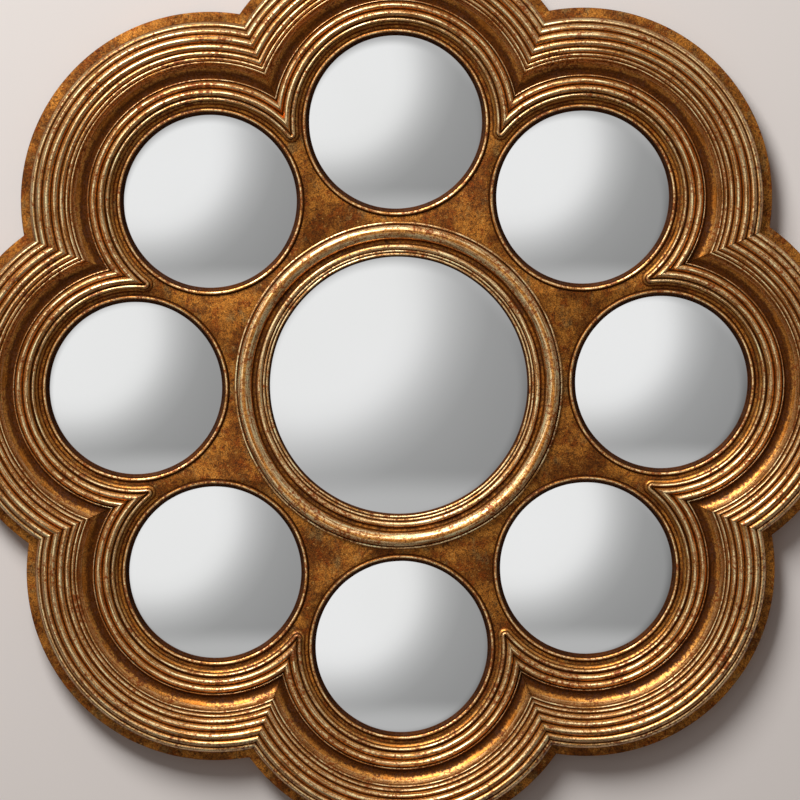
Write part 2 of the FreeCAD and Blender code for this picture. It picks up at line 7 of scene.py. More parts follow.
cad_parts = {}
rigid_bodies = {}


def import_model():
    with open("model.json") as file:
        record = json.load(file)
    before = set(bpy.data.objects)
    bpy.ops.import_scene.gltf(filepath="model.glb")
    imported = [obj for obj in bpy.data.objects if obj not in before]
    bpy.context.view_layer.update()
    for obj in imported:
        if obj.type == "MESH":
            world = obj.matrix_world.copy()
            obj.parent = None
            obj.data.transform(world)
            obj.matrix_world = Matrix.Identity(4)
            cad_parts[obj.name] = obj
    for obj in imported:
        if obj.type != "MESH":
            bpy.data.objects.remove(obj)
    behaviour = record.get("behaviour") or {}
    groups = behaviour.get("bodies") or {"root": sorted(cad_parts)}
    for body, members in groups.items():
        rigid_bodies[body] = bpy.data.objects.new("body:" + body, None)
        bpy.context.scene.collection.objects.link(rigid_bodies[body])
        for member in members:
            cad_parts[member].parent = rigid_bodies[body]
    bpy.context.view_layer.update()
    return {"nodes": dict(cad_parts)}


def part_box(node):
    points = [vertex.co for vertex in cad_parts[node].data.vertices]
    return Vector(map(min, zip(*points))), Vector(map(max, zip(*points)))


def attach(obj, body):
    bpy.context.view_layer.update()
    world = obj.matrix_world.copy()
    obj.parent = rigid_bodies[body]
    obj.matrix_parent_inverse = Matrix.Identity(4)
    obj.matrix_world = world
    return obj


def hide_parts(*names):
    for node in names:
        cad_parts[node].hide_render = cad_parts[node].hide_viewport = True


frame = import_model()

# A convex butler's mirror: eight small convex glasses round a large one in a worn gilt frame of eight
# lobes. Metres, +X right and +Z up for a person facing the mirror, and the glass faces -Y. The wall is
# the plane y = 0. A "height" is measured forwards from the field, the flat front of the carcase board.

MM = 0.001

# ---- Sizes read from the frame ----
LOBES = 8
STEP = math.tau / LOBES
SMALL_LOW, SMALL_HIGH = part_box("small_glass_3")
CENTRE_LOW, CENTRE_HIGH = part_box("centre_glass")
CARCASE_LOW, CARCASE_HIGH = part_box("carcase_board")
PITCH = (SMALL_LOW[0] + SMALL_HIGH[0]) / 2
SMALL_GLASS_RADIUS = (SMALL_HIGH[2] - SMALL_LOW[2]) / 2
CENTRE_GLASS_RADIUS = (CENTRE_HIGH[2] - CENTRE_LOW[2]) / 2
FIELD_Y = CARCASE_LOW[1]
BACK_Y = CARCASE_HIGH[1]
HALF_SPACING = PITCH * math.sin(STEP / 2)
FOOT = PITCH * math.cos(STEP / 2)

# ---- Sizes of the glasses and their sight edges ----
GLASS_THICKNESS = 3.0 * MM
GLASS_OVERLAP = 2.4 * MM
GLASS_HOLE_GAP = 1.0 * MM
EDGE_SLOPE = math.radians(21.0)
SMALL_SIGHT_RADIUS = SMALL_GLASS_RADIUS - GLASS_OVERLAP
CENTRE_SIGHT_RADIUS = CENTRE_GLASS_RADIUS - GLASS_OVERLAP
SIGHT_RING_WIDTH = 4.5 * MM
SIGHT_RING_REBATE = 2.6 * MM
SIGHT_RING_WALL = 2.2
SIGHT_RING_HEIGHT = 3.0
SIGHT_RING_FIT = 0.05
SIGHT_RING_UNSHADED = 0.62  # share of the bead left unshaded, between its sides that are painted with shade
SIGHT_RING_UNSHADED_AT = 0.40  # where the middle of that share lies
SIGHT_RING_PAINTED_SHADE = 1.2  # how dark the painted shade is at the ends of that share

# ---- Members of the lobe mouldings, from the mirror outwards: widths and heights in millimetres ----
VALLEY_GAP = 0.56
FOOT_WIDTH = 3.4
FOOT_HEIGHT = 4.2
FOOT_BULGE = 0.15
INNER_REED_WIDTHS = (4.6, 7.2, 7.2, 2.3)
INNER_REED_CRESTS = (8.4, 11.4, 11.0, 7.0)
COVE_WIDTH = 12.8
COVE_FLOOR = 3.0
COVE_RISE = 6.0
COVE_SAMPLES = 16
COVE_SHADED_SHARE = 0.25  # across the cove, painted shade is full up to here
COVE_UNSHADED_SHARE = 0.75  # and has faded out by here
# hollow, which sets the painted shade, at the cove's shaded and unshaded ends
COVE_MOST_SHADE = 0.95
COVE_LEAST_SHADE = 0.20
OUTER_REED_WIDTHS = (2.95, 3.9, 5.7, 7.0, 8.4, 6.5, 5.5)
OUTER_ARCH = (12.0, 24.0, 13.0, 0.58)  # start, crest, end, and the crest's place as a share of the width
REED_RISE = 0.42  # height of a reed as a share of its width
REED_FULLNESS = 1.75  # 2 is a parabola, and less makes the crest narrower
REED_LEAN = 0.6  # how far the outer reeds lean with the arch that they stand on
REEDS_INNER = HALF_SPACING / MM - VALLEY_GAP
NOSE_RADIUS = REEDS_INNER + INNER_REED_WIDTHS[0]  # the groove outside the first reed
NOSE_REACH = FOOT + math.sqrt((NOSE_RADIUS * MM) ** 2 - HALF_SPACING**2)

# ---- Members of the centre moulding: width, crest height, and arc height as a share of the width ----
LIP = (2.9, 3.0, 0.30)
BEADLET = (2.8, 4.2, 0.32)
BEAD = (5.5, 6.8, 0.45)
QUIRK_WIDTH = 4.1
QUIRK_START = 3.8
QUIRK_FLOOR = 3.3
QUIRK_END = 5.2
OVOLO_WIDTH = 8.2
OVOLO_FOOT = 5.8
OVOLO_TOP = 11.3
OUTER_BEAD = (5.4, 9.5, 0.36)
OUTER_FILLET = (3.1, 4.0, 0.30)
OUTER_SLOPE_BULGE = 0.16  # the leaf and gesso fill the outer bead's inner groove

# ---- Making ----
SPIN_STEP = math.radians(1.0)
MERGE = 0.01 * MM  # points nearer than this are one
SLIVER_FACES = 100  # a loose part with fewer faces is a sliver
SHORT_EDGE = 0.2 * MM  # edges of the board that are shorter are closed up before its edges are eased
FLAT = math.radians(0.1)  # faces of the board that meet flatter than this are one
EASED_EDGE = 0.4 * MM
EASED_ANGLE = math.radians(60)  # sharper edges than this are eased
WEDGE_DEPTH = 100 * MM
CUT_OVERRUN = 1 * MM  # how far a cutter stands past the board
LOBE_VERTICES = 360
CENTRE_HOLE_VERTICES = 256
SMALL_HOLE_VERTICES = 192
DOME_SEGMENTS = 144
DOME_RINGS = 288

# ---- Slow unevenness of hand work: its depth and the size of its waves ----
LOBE_WOBBLE = (0.5 * MM, 45 * MM)
CENTRE_WOBBLE = (0.4 * MM, 40 * MM)
SLIP_WOBBLE = (0.25 * MM, 20 * MM)


# ---- Small helpers ----
def only(piece):
    """Selects one object and nothing else."""
    bpy.ops.object.select_all(action="DESELECT")
    piece.select_set(True)
    bpy.context.view_layer.objects.active = piece


def edit(piece):
    only(piece)
    bpy.ops.object.mode_set(mode="EDIT")
    bpy.ops.mesh.select_all(action="SELECT")


def done_editing():
    bpy.ops.object.mode_set(mode="OBJECT")


def settle(piece):
    """Puts the object at the origin, unturned and unscaled, with its place in its mesh."""
    only(piece)
    bpy.ops.object.transform_apply(location=True, rotation=True, scale=True)


def apply_modifiers(piece):
    only(piece)
    for modifier in list(piece.modifiers):
        bpy.ops.object.modifier_apply(modifier=modifier.name)


def duplicate(piece, name):
    only(piece)
    bpy.ops.object.duplicate(linked=False)
    copy = bpy.context.object
    copy.name = name
    return copy


def remove(piece):
    only(piece)
    bpy.ops.object.delete()


def give_material(piece, material):
    piece.data.materials.clear()
    piece.data.materials.append(material)


def finish_piece(piece, replaced):
    """Hands a finished piece to the frame: names its mesh after it, hides the node that it stands for,
    and puts it on the body that it rides on.
    """
    piece.data.name = piece.name
    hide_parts(replaced)
    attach(piece, "mirror")


def lobe_angle(number):
    return math.pi / 2 - STEP * (number - 1)


def lobe_centre(number):
    angle = lobe_angle(number)
    return PITCH * math.cos(angle), PITCH * math.sin(angle)


# ---- Sections ----
# A section is a list of (radius, height, hollow). The first two are in millimetres, and hollow goes
# from 0 on a crest to 1 in a groove. It sets how much umber is painted: patina in grooves, and painted
# shade on the sight ring and in the cove.
def bulge(section, end, rise, samples, edge, middle):
    """Adds an arc from the section's last point to end, standing out by rise times its chord.

    edge and middle are how hollow it is at its ends and at its crest.
    """
    start = Vector(section[-1][:2])
    chord = Vector(end) - start
    along = chord.normalized()
    normal = Vector((-along.y, along.x))
    half = chord.length / 2
    sagitta = rise * chord.length
    radius = (half**2 + sagitta**2) / (2 * sagitta)
    opening = math.copysign(math.atan2(half, abs(radius) - abs(sagitta)), sagitta)
    centre = start + chord / 2 - normal * (radius - sagitta)
    for step in range(1, samples + 1):
        share = 2 * step / samples - 1
        angle = opening * share
        point = centre + normal * (radius * math.cos(angle)) + along * (radius * math.sin(angle))
        section.append((point.x, point.y, middle + (edge - middle) * abs(share) ** 3))


def straight(section, end, samples, hollow):
    start = Vector(section[-1][:2])
    for step in range(1, samples + 1):
        point = start.lerp(Vector(end), step / samples)
        section.append((point.x, point.y, hollow))


def arch_height(share, arch):
    """Height of an arch at a share of its width: a parabola up to its crest and another down."""
    start, top, end, crest = arch
    if share < crest:
        return top - (top - start) * ((crest - share) / crest) ** 2
    return top - (top - end) * ((share - crest) / (1 - crest)) ** 2


def step_to(section, height, hollow):
    """An upright side of a member, drawn only where the heights differ."""
    radius, last = section[-1][:2]
    if abs(height - last) > 0.01:
        straight(section, (radius, height), 2, hollow)


def member(section, width, crest, rise, samples=12):
    """Adds one rounded member that stands upright at the section's last point."""
    spring = crest - rise * width
    step_to(section, spring, 1.0)
    bulge(section, (section[-1][0] + width, spring), rise, samples, 1.0, 0.0)


def reed(section, width, crest, lean=0.0, samples=14):
    """Adds one reed with a narrow crest, on a base that climbs by lean across its width."""
    start = section[-1][0]
    base = crest - REED_RISE * width
    step_to(section, base - lean / 2, 1.0)
    for step in range(1, samples + 1):
        share = 2 * step / samples - 1
        ridge = REED_RISE * width * (1 - abs(share) ** REED_FULLNESS)
        section.append((start + width * step / samples, base + lean * share / 2 + ridge, abs(share) ** 3))


def level_arc(section, end, samples, edge, middle, side):
    """Adds an arc that is level at its lower end (side -1, a cove) or at its upper end (side 1)."""
    width = end[0] - section[-1][0]
    rise = end[1] - section[-1][1]
    radius = (width**2 + rise**2) / (2 * rise)
    chord = math.hypot(width, rise)
    sagitta = radius - math.sqrt(radius**2 - chord**2 / 4)
    bulge(section, end, side * sagitta / chord, samples, edge, middle)


def foot_and_first_reed():
    section = [(REEDS_INNER - FOOT_WIDTH, 0.0, 1.0)]
    bulge(section, (REEDS_INNER, FOOT_HEIGHT), FOOT_BULGE, 6, 0.9, 0.25)
    reed(section, INNER_REED_WIDTHS[0], INNER_REED_CRESTS[0])
    return section


def lobe_section():
    section = foot_and_first_reed()
    for width, crest in zip(INNER_REED_WIDTHS[1:], INNER_REED_CRESTS[1:]):
        reed(section, width, crest)
    add_cove(section)
    whole = sum(OUTER_REED_WIDTHS)
    run = 0.0
    for width in OUTER_REED_WIDTHS:
        first = arch_height(run / whole, OUTER_ARCH)
        middle = arch_height((run + width / 2) / whole, OUTER_ARCH)
        last = arch_height((run + width) / whole, OUTER_ARCH)
        reed(section, width, middle, REED_LEAN * (last - first))
        run += width
    step_to(section, 0.0, 1.0)
    return section


def add_cove(section):
    """The cove, whose inner half is painted darkest with umber as painted shade, where the reeds' shadow
    falls.
    """
    step_to(section, COVE_FLOOR, 1.0)
    first = len(section)
    cove_end = section[-1][0] + COVE_WIDTH
    level_arc(section, (cove_end, COVE_FLOOR + COVE_RISE), COVE_SAMPLES, 0.0, 0.0, -1)
    # painted shade: hollow, and so umber, is greatest over the inner half of the cove
    for index in range(first, len(section)):
        share = (index - first + 1) / COVE_SAMPLES
        unshaded = min(1.0, max(0.0, (share - COVE_SHADED_SHARE) / (COVE_UNSHADED_SHARE - COVE_SHADED_SHARE)))
        hollow = COVE_MOST_SHADE + (COVE_LEAST_SHADE - COVE_MOST_SHADE) * unshaded**1.5
        section[index] = (section[index][0], section[index][1], hollow)


def nose_section():
    """The foot and first reed turned round to stand about the groove that they end in."""
    section = [(NOSE_RADIUS - radius, height, hollow) for radius, height, hollow in foot_and_first_reed()]
    section.append((0.0, 0.0, 1.0))
    return section


def centre_section():
    """Lip, two beads, quirk, ovolo, outer bead and fillet of the ring round the large mirror."""
    section = [(CENTRE_SIGHT_RADIUS / MM, 0.0, 1.0)]
    member(section, *LIP)
    member(section, *BEADLET)
    member(section, *BEAD)
    step_to(section, QUIRK_START, 1.0)
    quirk_end = (section[-1][0] + QUIRK_WIDTH, QUIRK_END)
    quirk_chord = math.hypot(QUIRK_WIDTH, QUIRK_END - QUIRK_START)
    sag = (QUIRK_START + QUIRK_END) / 2 - QUIRK_FLOOR
    bulge(section, quirk_end, -sag / quirk_chord, 8, 1.0, 0.75)
    step_to(section, OVOLO_FOOT, 0.9)
    level_arc(section, (section[-1][0] + OVOLO_WIDTH, OVOLO_TOP), 18, 0.7, 0.0, 1)
    bead_end = (section[-1][0] + OUTER_BEAD[0], OUTER_BEAD[1] - OUTER_BEAD[2] * OUTER_BEAD[0])
    bulge(section, bead_end, OUTER_SLOPE_BULGE, 12, 0.35, 0.0)
    member(section, *OUTER_FILLET)
    step_to(section, 0.0, 1.0)
    return section


def sight_section():
    """The slip's upright wall and its rounded bead, down to the bottom of its rebate, with painted shade
    on the wall and on both sides of the bead.
    """
    radius = SMALL_SIGHT_RADIUS / MM
    outer = radius + SIGHT_RING_WIDTH / MM - SIGHT_RING_FIT
    back = -SIGHT_RING_REBATE / MM
    wall = back + SIGHT_RING_WALL
    section = [(radius, back, 1.0)]
    straight(section, (radius, wall), 2, 1.0)
    bulge(section, (outer, 0.0), (SIGHT_RING_HEIGHT - wall / 2) / (outer - radius), 18, 0.9, 0.0)
    straight(section, (outer, back), 2, 1.0)
    # painted shade: the wall and both sides of the bead darken away from one unshaded band
    unshaded_half = (outer - radius) * SIGHT_RING_UNSHADED / 2
    middle = radius + (outer - radius) * SIGHT_RING_UNSHADED_AT
    with_painted_shade = []
    for across, up, _ in section:
        with_painted_shade.append((across, up, min(1.0, SIGHT_RING_PAINTED_SHADE * (abs(across - middle) / unshaded_half) ** 3)))
    return with_painted_shade


# ---- Turning ----
def turn(name, section, centre=(0.0, 0.0), start=0.0, sweep=math.tau):
    """Draws the section as a chain of edges and spins it about an axis square to the wall."""
    def place(radius, height):
        reach = radius * MM
        x = centre[0] + reach * math.cos(start)
        z = centre[1] + reach * math.sin(start)
        return Vector((x, FIELD_Y - height * MM, z))

    first = place(*section[0][:2])
    bpy.ops.object.select_all(action="DESELECT")
    bpy.ops.mesh.primitive_plane_add(size=MM, location=first)
    piece = bpy.context.object
    piece.name = name
    edit(piece)
    bpy.ops.mesh.merge(type="CENTER")
    last = first
    for radius, height, _ in section[1:] + section[:1]:
        point = place(radius, height)
        bpy.ops.mesh.extrude_region_move(TRANSFORM_OT_translate={"value": point - last})
        last = point
    bpy.ops.mesh.select_all(action="SELECT")
    bpy.ops.mesh.spin(
        steps=math.ceil(sweep / SPIN_STEP),
        angle=sweep,
        center=(centre[0], 0, centre[1]),
        axis=(0, 1, 0),
    )
    bpy.ops.mesh.select_all(action="SELECT")
    bpy.ops.mesh.remove_doubles(threshold=MERGE)
    if sweep < math.tau:
        bpy.ops.mesh.select_all(action="DESELECT")
        bpy.ops.mesh.select_non_manifold()
        bpy.ops.mesh.edge_face_add()
    done_editing()
    settle(piece)
    face_outwards(piece)
    return piece


def face_outwards(piece):
    edit(piece)
    bpy.ops.mesh.normals_make_consistent(inside=False)
    done_editing()


def smooth(piece, degrees=35.0):
    only(piece)
    bpy.ops.object.shade_smooth_by_angle(angle=math.radians(degrees))


def record_section(piece, section, locate):
    """Stores how hollow each point is, and a map with U along the moulding and V across it.

    locate gives a point's place along the moulding and its radius in the section, both in metres.
    """
    radii = [point[0] for point in section]
    hollows = [point[2] for point in section]

    def hollow_at(radius):
        for index in range(len(radii) - 1):
            low, high = radii[index], radii[index + 1]
            if low <= radius < high:
                share = (radius - low) / (high - low)
                return hollows[index] + (hollows[index + 1] - hollows[index]) * share
        return 1.0

    mesh = piece.data
    attribute = mesh.attributes.new("hollow", "FLOAT", "POINT")
    across = mesh.uv_layers.new(name="along_across")
    places = [locate(vertex.co.x, vertex.co.z) for vertex in mesh.vertices]
    for index, (along, radius) in enumerate(places):
        attribute.data[index].value = hollow_at(radius / MM)
    for loop in mesh.loops:
        across.data[loop.index].uv = places[loop.vertex_index]


def wobble(piece, depth, size):
    """Moves the surface a little in and out, as hand work does."""
    texture = bpy.data.textures.new("slow_wobble", "CLOUDS")
    texture.noise_scale = size
    texture.noise_depth = 2
    modifier = piece.modifiers.new("slow_wobble", "DISPLACE")
    modifier.texture = texture
    modifier.texture_coords = "GLOBAL"
    modifier.strength = depth
    modifier.mid_level = 1.0  # inwards only
    apply_modifiers(piece)


# ---- Lobe mouldings ----
def mitre_wedge():
    """The space of the lobe on the +X side, between its two mitres."""
    far = 4 * PITCH
    upper = Vector((far * math.cos(STEP / 2), 0, far * math.sin(STEP / 2)))
    outline = [Vector((0, 0, 0)), upper, Vector((upper.x, 0, -upper.z))]
    bpy.ops.object.select_all(action="DESELECT")
    bpy.ops.mesh.primitive_plane_add(size=MM, location=outline[0])
    wedge = bpy.context.object
    wedge.name = "mitre_wedge"
    edit(wedge)
    bpy.ops.mesh.merge(type="CENTER")
    for last, point in zip(outline, outline[1:] + outline[:1]):
        bpy.ops.mesh.extrude_region_move(TRANSFORM_OT_translate={"value": point - last})
    bpy.ops.mesh.select_all(action="SELECT")
    bpy.ops.mesh.remove_doubles(threshold=MERGE)
    bpy.ops.mesh.edge_face_add()
    bpy.ops.mesh.extrude_region_move(TRANSFORM_OT_translate={"value": (0, -WEDGE_DEPTH, 0)})
    done_editing()
    settle(wedge)
    face_outwards(wedge)
    return wedge


def boolean(piece, other, operation):
    modifier = piece.modifiers.new("boolean", "BOOLEAN")
    modifier.operation = operation
    modifier.solver = "EXACT"
    modifier.object = other
    apply_modifiers(piece)


def drop_slivers(piece):
    """Removes the loose slivers that a union leaves, and closes the small holes beside them."""
    edit(piece)
    bpy.ops.mesh.separate(type="LOOSE")
    done_editing()
    parts = sorted(bpy.context.selected_objects, key=lambda part: -len(part.data.polygons))
    kept = [part for part in parts if len(part.data.polygons) >= SLIVER_FACES]
    for part in parts[len(kept):]:
        remove(part)
    only(kept[0])
    for part in kept[1:]:
        part.select_set(True)
    bpy.ops.object.join()
    edit(kept[0])
    bpy.ops.mesh.fill_holes(sides=6)
    done_editing()
    return kept[0]


def nose_centre():
    return NOSE_REACH * math.cos(STEP / 2), NOSE_REACH * math.sin(STEP / 2)


def lobe_end_angle():
    """Direction of the nose's centre from the lobe's mirror, where the ring of inner members ends."""
    x, z = nose_centre()
    return math.atan2(z, x - PITCH)


def locate_on_lobe(x, z):
    """Along and across the moulding of the lobe on the +X side, round its noses too."""
    angle = math.atan2(z, x - PITCH)
    end = lobe_end_angle()
    if abs(angle) <= end:
        return angle * NOSE_RADIUS * MM, math.hypot(x - PITCH, z)
    nose_x, nose_z = nose_centre()
    reach = math.hypot(x - nose_x, abs(z) - nose_z)
    round_nose = math.atan2(nose_x - x, abs(z) - nose_z) * reach
    return math.copysign(end * NOSE_RADIUS * MM + round_nose, angle), NOSE_RADIUS * MM - reach


def make_lobe_moulding_master(section):
    """The reeded ring of one lobe, mitred, with half of a rounded nose at each end."""
    end = lobe_end_angle()
    master = turn("lobe_moulding", section, (PITCH, 0.0), -end, 2 * end)
    wedge = mitre_wedge()
    boolean(master, wedge, "INTERSECT")
    remove(wedge)
    x, z = nose_centre()
    inwards = STEP / 2 - math.pi
    for side in (1, -1):
        start = inwards if side == 1 else math.pi - end
        nose = turn("nose", nose_section(), (x, side * z), start, end - math.pi - inwards)
        boolean(master, nose, "UNION")
        remove(nose)
    return drop_slivers(master)


def make_lobe_mouldings(material):
    section = lobe_section()
    master = make_lobe_moulding_master(section)
    record_section(master, section, locate_on_lobe)
    give_material(master, material)
    for number in range(1, LOBES + 1):
        piece = duplicate(master, f"gilt_lobe_moulding_{number}")
        piece.rotation_euler = (0, -lobe_angle(number), 0)
        settle(piece)
        wobble(piece, *LOBE_WOBBLE)
        smooth(piece)
        finish_piece(piece, f"lobe_moulding_{number}")
    remove(master)


def make_ring(name, section, material):
    piece = turn(name, section)
    radius = section[0][0] * MM
    record_section(piece, section, lambda x, z: (math.atan2(z, x) * radius, math.hypot(x, z)))
    give_material(piece, material)
    return piece


def make_centre_moulding(material):
    piece = make_ring("gilt_centre_moulding", centre_section(), material)
    wobble(piece, *CENTRE_WOBBLE)
    smooth(piece)
    finish_piece(piece, "centre_moulding")


def make_sight_rings(material):
    master = make_ring("sight_ring", sight_section(), material)
    for number in range(1, LOBES + 1):
        piece = duplicate(master, f"gilt_sight_ring_{number}")
        x, z = lobe_centre(number)
        piece.location = (x, 0, z)
        settle(piece)
        wobble(piece, *SLIP_WOBBLE)
        smooth(piece)
        finish_piece(piece, f"sight_ring_{number}")
    remove(master)


# ---- Glasses ----
def dome(name, glass_radius, front_y, material):
    """A cap of a ball, thickened backwards like bent glass."""
    slope_radius = glass_radius - GLASS_OVERLAP
    ball = slope_radius / math.sin(EDGE_SLOPE)
    centre_y = front_y + ball
    edge_y = centre_y - math.sqrt(ball**2 - glass_radius**2)
    bpy.ops.object.select_all(action="DESELECT")
    bpy.ops.mesh.primitive_uv_sphere_add(
        segments=DOME_SEGMENTS,
        ring_count=DOME_RINGS,
        radius=ball,
        location=(0, centre_y, 0),
        rotation=(math.pi / 2, 0, 0),
    )
    piece = bpy.context.object
    piece.name = name
    edit(piece)
    bpy.ops.mesh.bisect(plane_co=(0, edge_y, 0), plane_no=(0, 1, 0), clear_outer=True)
    done_editing()
    settle(piece)
    modifier = piece.modifiers.new("thickness", "SOLIDIFY")
    modifier.thickness = GLASS_THICKNESS
    modifier.offset = -1.0
    apply_modifiers(piece)
    smooth(piece)
    give_material(piece, material)
    return piece


def make_glasses(material):
    piece = dome("convex_centre_glass", CENTRE_GLASS_RADIUS, CENTRE_LOW[1], material)
    finish_piece(piece, "centre_glass")
    master = dome("small_glass", SMALL_GLASS_RADIUS, SMALL_LOW[1], material)
    for number in range(1, LOBES + 1):
        piece = duplicate(master, f"convex_small_glass_{number}")
        x, z = lobe_centre(number)
        piece.location = (x, 0, z)
        settle(piece)
        finish_piece(piece, f"small_glass_{number}")
    remove(master)


# ---- Carcase board ----
def disc(name, radius, front_y, back_y, x, z, vertices):
    bpy.ops.object.select_all(action="DESELECT")
    bpy.ops.mesh.primitive_cylinder_add(
        vertices=vertices,
        radius=radius,
        depth=back_y - front_y,
        location=(x, (front_y + back_y) / 2, z),
        rotation=(math.pi / 2, 0, 0),
    )
    piece = bpy.context.object
    piece.name = name
    settle(piece)
    return piece


def cut_disc(board, radius, front_y, back_y, x, z, vertices):
    hole = disc("hole", radius, front_y, back_y, x, z, vertices)
    boolean(board, hole, "DIFFERENCE")
    remove(hole)


def make_carcase(material):
    """Eight discs joined into the lobed board, then pierced for the nine glasses."""
    radius = (CARCASE_HIGH[0] - CARCASE_LOW[0]) / 2 - PITCH
    board = None
    for number in range(1, LOBES + 1):
        x, z = lobe_centre(number)
        lobe = disc("lobe", radius, FIELD_Y, BACK_Y, x, z, LOBE_VERTICES)
        if board is None:
            board = lobe
            continue
        boolean(board, lobe, "UNION")
        remove(lobe)
    board.name = "patinated_carcase_board"
    front = FIELD_Y - CUT_OVERRUN
    back = BACK_Y + CUT_OVERRUN
    cut_disc(board, CENTRE_GLASS_RADIUS + GLASS_HOLE_GAP, front, back, 0, 0, CENTRE_HOLE_VERTICES)
    ring_outer = SMALL_SIGHT_RADIUS + SIGHT_RING_WIDTH
    for number in range(1, LOBES + 1):
        x, z = lobe_centre(number)
        cut_disc(board, SMALL_GLASS_RADIUS + GLASS_HOLE_GAP, front, back, x, z, SMALL_HOLE_VERTICES)
        cut_disc(board, ring_outer, front, FIELD_Y + SIGHT_RING_REBATE, x, z, SMALL_HOLE_VERTICES)
    edit(board)
    bpy.ops.mesh.remove_doubles(threshold=SHORT_EDGE)
    bpy.ops.mesh.dissolve_limited(angle_limit=FLAT)
    done_editing()
    bevel = board.modifiers.new("eased_edges", "BEVEL")
    bevel.use_clamp_overlap = False
    bevel.width = EASED_EDGE
    bevel.segments = 3
    bevel.limit_method = "ANGLE"
    bevel.angle_limit = EASED_ANGLE
    apply_modifiers(board)
    smooth(board, 30.0)
    give_material(board, material)
    finish_piece(board, "carcase_board")


# ---- Materials ----
def new_material(name):
    material = bpy.data.materials.new(name)
    material.use_nodes = True
    tree = material.node_tree
    tree.nodes.clear()
    output = tree.nodes.new("ShaderNodeOutputMaterial")
    shader = tree.nodes.new("ShaderNodeBsdfPrincipled")
    tree.links.new(shader.outputs["BSDF"], output.inputs["Surface"])
    return material, tree, shader


def node(tree, kind, **settings):
    """Adds a node. A setting sets the input of its name or, where there is none, the node's own field."""
    made = tree.nodes.new(kind)
    for key, value in settings.items():
        if key in made.inputs:
            made.inputs[key].default_value = value
        else:
            setattr(made, key, value)
    return made


def mix_colours(tree, factor, first, second, blend="MIX"):
    """A colour mix whose factor and colours are sockets or plain values."""
    made = tree.nodes.new("ShaderNodeMix")
    made.data_type = "RGBA"
    made.blend_type = blend
    for socket, value in ((made.inputs[0], factor), (made.inputs[6], first), (made.inputs[7], second)):
        if isinstance(value, bpy.types.NodeSocket):
            tree.links.new(value, socket)
        else:
            socket.default_value = value
    return made.outputs[2]


def maths(tree, operation, first, second=0.0, clamp=False):
    made = tree.nodes.new("ShaderNodeMath")
    made.operation = operation
    made.use_clamp = clamp
    for socket, value in ((made.inputs[0], first), (made.inputs[1], second)):
        if isinstance(value, bpy.types.NodeSocket):
            tree.links.new(value, socket)
        else:
            socket.default_value = value
    return made.outputs[0]


def ramp(tree, value, low, high, to_low=0.0, to_high=1.0, kind="SMOOTHSTEP"):
    """A step of a value between low and high, smooth unless another kind is given."""
    made = tree.nodes.new("ShaderNodeMapRange")
    made.interpolation_type = kind
    tree.links.new(value, made.inputs["Value"])
    made.inputs["From Min"].default_value = low
    made.inputs["From Max"].default_value = high
    made.inputs["To Min"].default_value = to_low
    made.inputs["To Max"].default_value = to_high
    return made.outputs["Result"]


def weighted(tree, first, first_share, second, second_share):
    """The sum of two values, each times its share."""
    one = maths(tree, "MULTIPLY", first, first_share)
    other = maths(tree, "MULTIPLY", second, second_share)
    return maths(tree, "ADD", one, other)


def shifted(tree, value, change, amount):
    """A value moved up and down by a noise about its middle."""
    swing = maths(tree, "MULTIPLY", maths(tree, "SUBTRACT", change, 0.5), amount)
    return maths(tree, "ADD", value, swing)


def noise(tree, vector, scale, detail, roughness):
    made = node(tree, "ShaderNodeTexNoise", Scale=scale, Detail=detail, Roughness=roughness)
    tree.links.new(vector, made.inputs["Vector"])
    return made.outputs["Fac"]


def stretched(tree, vector, scale):
    made = node(tree, "ShaderNodeMapping")
    made.inputs["Scale"].default_value = scale
    tree.links.new(vector, made.inputs["Vector"])
    return made.outputs["Vector"]


def group_socket(group, name, direction, kind):
    group.interface.new_socket(name=name, in_out=direction, socket_type=kind)


DULL_SPECULAR = 0.25  # shine of the umber, dirt and painted shade alike, and of bared bole
GRAIN_SCALE = 950.0  # of the finest speckle, on leaf and field alike

DEEP_LEAF = (0.54, 0.180, 0.022, 1)
BRIGHT_LEAF = (0.84, 0.400, 0.090, 1)
# a paler leaf painted on the crests as a highlight
PAINTED_HIGHLIGHT_LEAF = (1.0, 0.75, 0.41, 1)
BOLE = (0.30, 0.074, 0.009, 1)
# umber: patina in the grooves, and painted shade on the sight rings and in the cove
UMBER_PATINA_AND_SHADE = (0.085, 0.022, 0.002, 1)
MOTTLE_SCALE = 45.0
FINE_WEAR_SCALE = 380.0
LEAF_ROUGHNESS = 0.27
WAX = 0.18  # weight of the wax coat on clean leaf
WAX_ROUGHNESS = 0.28

FIELD_DARK = (0.15, 0.042, 0.004, 1)
FIELD_LIGHT = (0.41, 0.150, 0.020, 1)
FIELD_RUST = (0.21, 0.044, 0.003, 1)
FIELD_GREEN = (0.22, 0.125, 0.040, 1)
FIELD_PITS = (0.05, 0.016, 0.004, 1)
FIELD_GLINTS = (0.62, 0.34, 0.09, 1)
FIELD_METALLIC = 0.7
FIELD_BUMP = 0.3 * MM

SILVER_WARM = (0.93, 0.935, 0.93, 1)
SILVER_COOL = (0.95, 0.955, 0.955, 1)
SILVER_ROUGHNESS = 0.03


